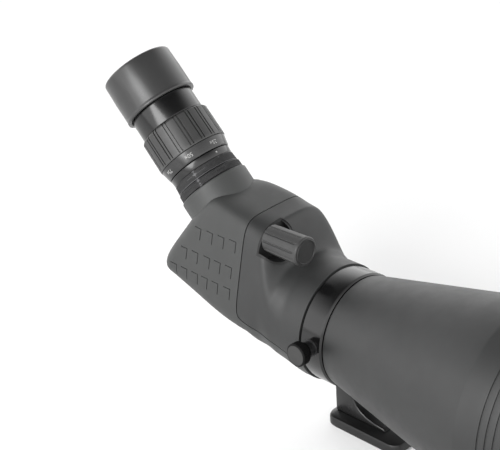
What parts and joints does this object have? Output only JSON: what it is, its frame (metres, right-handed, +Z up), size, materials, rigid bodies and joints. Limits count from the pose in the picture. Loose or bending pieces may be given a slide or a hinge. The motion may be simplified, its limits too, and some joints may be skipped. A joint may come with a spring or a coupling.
{
  "type": "spotting scope",
  "caption": "Angled zoom spotting scope with rotating tripod collar, focus knob, zoom ring, twist-up eyecup and sliding lens hood.",
  "frame": {"origin": "centre of the tripod thread at the underside of the foot", "axes": "+X forward along the barrel towards the objective, +Y to the left of the scope, +Z up"},
  "size_m": [0.4588, 0.1216, 0.2138],
  "materials": {
    "armour_rubber": "smooth satin rubber",
    "cover_rubber": "smooth satin rubber",
    "gloss_black": "gloss black enamel",
    "satin_black": "satin black anodised",
    "knurled_black": "knurled black anodised",
    "grey_metal": "bead blasted",
    "cast_metal": "as cast, painted inside",
    "steel": "bright steel",
    "brass": "machined",
    "knob_rubber": "moulded rubber",
    "cup_rubber": "soft satin rubber",
    "nylon": "low friction strip",
    "felt": "felt band",
    "seal_rubber": "O-ring",
    "coated_glass": "multi-coated",
    "prism_glass": "polished"
  },
  "bodies": {
    "tripod_collar": {"collar_ring": "gloss_black", "collar_liner": "nylon", "collar_foot": "satin_black", "foot_screws": "steel", "foot_pad": "cup_rubber", "thread_insert": "brass", "lock_bushing": "brass"},
    "lock_shoe": {"brake_shoe": "nylon"},
    "lock_handle": {"lock_screw": "steel", "lock_washer": "steel", "lock_knob": "satin_black"},
    "scope": {"bearing_tube": "grey_metal", "main_housing": "cast_metal", "rear_cover": "cover_rubber", "front_cover": "armour_rubber", "eyepiece_neck": "satin_black", "prism": "prism_glass", "prism_cradle": "satin_black", "prism_clamp": "steel", "cradle_screws": "steel", "barrel_tube": "cast_metal", "barrel_armour": "armour_rubber", "barrel_baffles": "satin_black", "objective_cell": "satin_black", "objective_seal": "seal_rubber", "rear_objective_lens": "coated_glass", "lens_spacer": "satin_black", "front_objective_lens": "coated_glass", "objective_ring": "satin_black", "slide_rings": "felt", "focus_bushing": "brass", "focus_seal": "seal_rubber", "eyepiece_flange": "knurled_black", "index_ring": "gloss_black", "eyepiece_sleeve": "satin_black", "inner_eye_lens": "coated_glass", "eyepiece_barrel": "gloss_black", "eye_lens": "coated_glass", "eye_lens_ring": "satin_black"},
    "lens_hood": {"sunshade": "satin_black"},
    "focus_wheel": {"focus_knob_core": "grey_metal", "focus_knob_grip": "knob_rubber", "focus_knob_cap": "grey_metal"},
    "focus_carriage": {"focus_rod": "steel", "focus_arm": "nylon", "focus_cell": "satin_black", "focus_lens": "coated_glass", "focus_lens_ring": "satin_black"},
    "eyepiece_lock": {"eyepiece_lock_ring": "knurled_black"},
    "zoom_collar": {"zoom_cam_sleeve": "grey_metal", "zoom_number_ring": "satin_black", "zoom_grip": "cup_rubber"},
    "zoom_group_lower": {"zoom_cell_lower": "satin_black", "zoom_lens_lower": "coated_glass"},
    "zoom_group_upper": {"zoom_cell_upper": "satin_black", "zoom_lens_upper": "coated_glass"},
    "eyecup_carrier": {"eyecup_guide": "satin_black"},
    "eyecup": {"eyecup_pin_ring": "satin_black", "eyecup_sleeve": "satin_black", "eyecup_rubber": "cup_rubber"}
  },
  "joints": [
    {"name": "scope_turn", "type": "hinge", "parent": "tripod_collar", "child": "scope", "pos_m": [-0.0197, 0, 0.068], "axis": [1, 0, 0], "continuous": true},
    {"name": "lock_travel", "type": "slide", "parent": "tripod_collar", "child": "lock_shoe", "axis": [0, -0.9976, 0.0698], "range_m": [0, 0.0008]},
    {"name": "lock_turn", "type": "hinge", "parent": "lock_shoe", "child": "lock_handle", "pos_m": [-0.0197, -0.04489, 0.07114], "axis": [0, -0.9976, 0.0698], "range_deg": [0, 288]},
    {"name": "focus_turn", "type": "hinge", "parent": "scope", "child": "focus_wheel", "pos_m": [-0.048, -0.0183, 0.1222], "axis": [1, 0, 0], "range_deg": [-720, 720]},
    {"name": "focus_travel", "type": "slide", "parent": "scope", "child": "focus_carriage", "axis": [1, 0, 0], "range_m": [-0.006, 0.006]},
    {"name": "hood_slide", "type": "slide", "parent": "scope", "child": "lens_hood", "axis": [1, 0, 0], "range_m": [0, 0.045]},
    {"name": "eyepiece_lock_turn", "type": "hinge", "parent": "scope", "child": "eyepiece_lock", "pos_m": [-0.13763, 0, 0.13263], "axis": [-0.7071, 0, 0.7071], "range_deg": [0, 60]},
    {"name": "zoom_turn", "type": "hinge", "parent": "scope", "child": "zoom_collar", "pos_m": [-0.15785, 0, 0.15285], "axis": [-0.7071, 0, 0.7071], "range_deg": [0, 95]},
    {"name": "zoom_travel_lower", "type": "slide", "parent": "scope", "child": "zoom_group_lower", "axis": [-0.7071, 0, 0.7071], "range_m": [0, 0.005]},
    {"name": "zoom_travel_upper", "type": "slide", "parent": "scope", "child": "zoom_group_upper", "axis": [-0.7071, 0, 0.7071], "range_m": [-0.005, 0]},
    {"name": "eyecup_travel", "type": "slide", "parent": "scope", "child": "eyecup_carrier", "axis": [-0.7071, 0, 0.7071], "range_m": [-0.01, 0]},
    {"name": "eyecup_turn", "type": "hinge", "parent": "eyecup_carrier", "child": "eyecup", "pos_m": [-0.19109, 0, 0.18609], "axis": [-0.7071, 0, 0.7071], "range_deg": [0, 100]}
  ],
  "couplings": [
    {"joint": "lock_turn", "follows": "lock_travel", "rad_per_m": 6283.2},
    {"joint": "focus_turn", "follows": "focus_travel", "rad_per_m": -2094.4},
    {"joint": "zoom_travel_lower", "follows": "zoom_turn", "m_per_rad": 0.0030156},
    {"joint": "zoom_travel_upper", "follows": "zoom_turn", "m_per_rad": -0.0030156},
    {"joint": "eyecup_turn", "follows": "eyecup_travel", "rad_per_m": -174.53}
  ]
}
